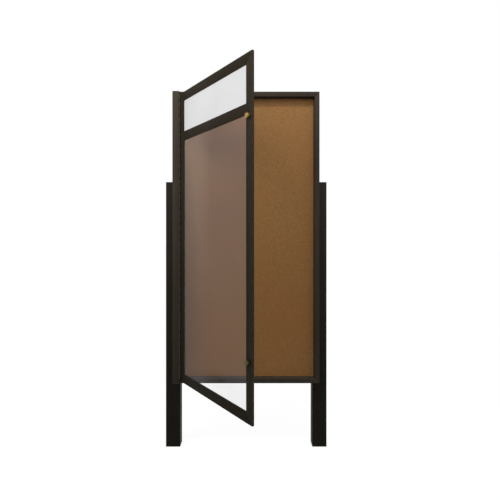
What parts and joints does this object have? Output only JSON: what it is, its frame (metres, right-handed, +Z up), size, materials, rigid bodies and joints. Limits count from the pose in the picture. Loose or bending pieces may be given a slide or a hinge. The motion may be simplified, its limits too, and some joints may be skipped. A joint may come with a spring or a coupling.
{
  "type": "enclosed notice board",
  "caption": "Tall shallow cork-backed notice cabinet on two square posts, with a hinged glazed door, header panel and cam locks.",
  "frame": {"origin": "on the ground, midway between the two posts", "axes": "+Z up, -Y out of the front of the cabinet, +X to the right seen from the front"},
  "size_m": [0.8544, 0.7604, 1.869],
  "materials": {
    "frame_bronze": "satin dark bronze powder coat",
    "post_bronze": "satin very dark bronze powder coat",
    "hinge_bronze": "satin dark bronze",
    "corner_key": "cast",
    "mill_aluminium": "mill",
    "zinc_steel": "zinc plated",
    "brass": "satin brass",
    "cork": "fine-grained natural cork",
    "fibreboard": "raw board",
    "header_white": "satin pale grey panel, bare",
    "clear_acrylic": "clear acrylic",
    "black_rubber": "foam rubber",
    "black_nylon": "moulded"
  },
  "bodies": {
    "cabinet": {"back_sheet": "mill_aluminium", "cabinet_bottom_rail": "frame_bronze", "cabinet_corner_key_bottom_left": "corner_key", "cabinet_corner_key_bottom_right": "corner_key", "cabinet_corner_key_top_left": "corner_key", "cabinet_corner_key_top_right": "corner_key", "cabinet_left_rail": "frame_bronze", "cabinet_right_rail": "frame_bronze", "cabinet_top_rail": "frame_bronze", "cork_sheet": "cork", "fibreboard": "fibreboard", "hinge_jamb": "frame_bronze", "hinge_jamb_leaf": "hinge_bronze", "hinge_pin": "zinc_steel", "jamb_plug_bottom": "black_nylon", "jamb_plug_top": "black_nylon", "left_post": "post_bronze", "left_post_cap": "black_nylon", "post_bolt_left_lower": "zinc_steel", "post_bolt_left_upper": "zinc_steel", "post_bolt_right_lower": "zinc_steel", "post_bolt_right_upper": "zinc_steel", "post_nut_left_lower": "zinc_steel", "post_nut_left_upper": "zinc_steel", "post_nut_right_lower": "zinc_steel", "post_nut_right_upper": "zinc_steel", "right_post": "post_bronze", "right_post_cap": "black_nylon"},
    "door": {"door_bottom_rail": "frame_bronze", "door_corner_key_bottom_left": "corner_key", "door_corner_key_bottom_right": "corner_key", "door_corner_key_top_left": "corner_key", "door_corner_key_top_right": "corner_key", "door_cross_rail": "frame_bronze", "door_hinge_stile": "frame_bronze", "door_lock_stile": "frame_bronze", "door_seal": "black_rubber", "door_top_rail": "frame_bronze", "header_bead_bottom": "frame_bronze", "header_bead_left": "frame_bronze", "header_bead_right": "frame_bronze", "header_bead_top": "frame_bronze", "header_panel": "header_white", "hinge_door_leaf": "hinge_bronze", "lower_lock_barrel": "brass", "lower_lock_nut": "zinc_steel", "upper_lock_barrel": "brass", "upper_lock_nut": "zinc_steel", "window_bead_bottom": "frame_bronze", "window_bead_left": "frame_bronze", "window_bead_right": "frame_bronze", "window_bead_top": "frame_bronze", "window_pane": "clear_acrylic"},
    "upper_lock": {"upper_cam_screw": "zinc_steel", "upper_lock_cam": "zinc_steel", "upper_lock_plug": "brass"},
    "lower_lock": {"lower_cam_screw": "zinc_steel", "lower_lock_cam": "zinc_steel", "lower_lock_plug": "brass"}
  },
  "joints": [
    {"name": "door_swing", "type": "hinge", "parent": "cabinet", "child": "door", "pos_m": [-0.3435, -0.1139, 1.112], "axis": [0, 0, -1], "range_deg": [-58.7, 111.3]},
    {"name": "upper_lock_turn", "type": "hinge", "parent": "door", "child": "upper_lock", "pos_m": [0.01159, -0.69792, 1.598], "axis": [-0.8545, -0.5195, 0], "range_deg": [0, 90]},
    {"name": "lower_lock_turn", "type": "hinge", "parent": "door", "child": "lower_lock", "pos_m": [0.01159, -0.69792, 0.618], "axis": [-0.8545, -0.5195, 0], "range_deg": [0, 90]}
  ]
}
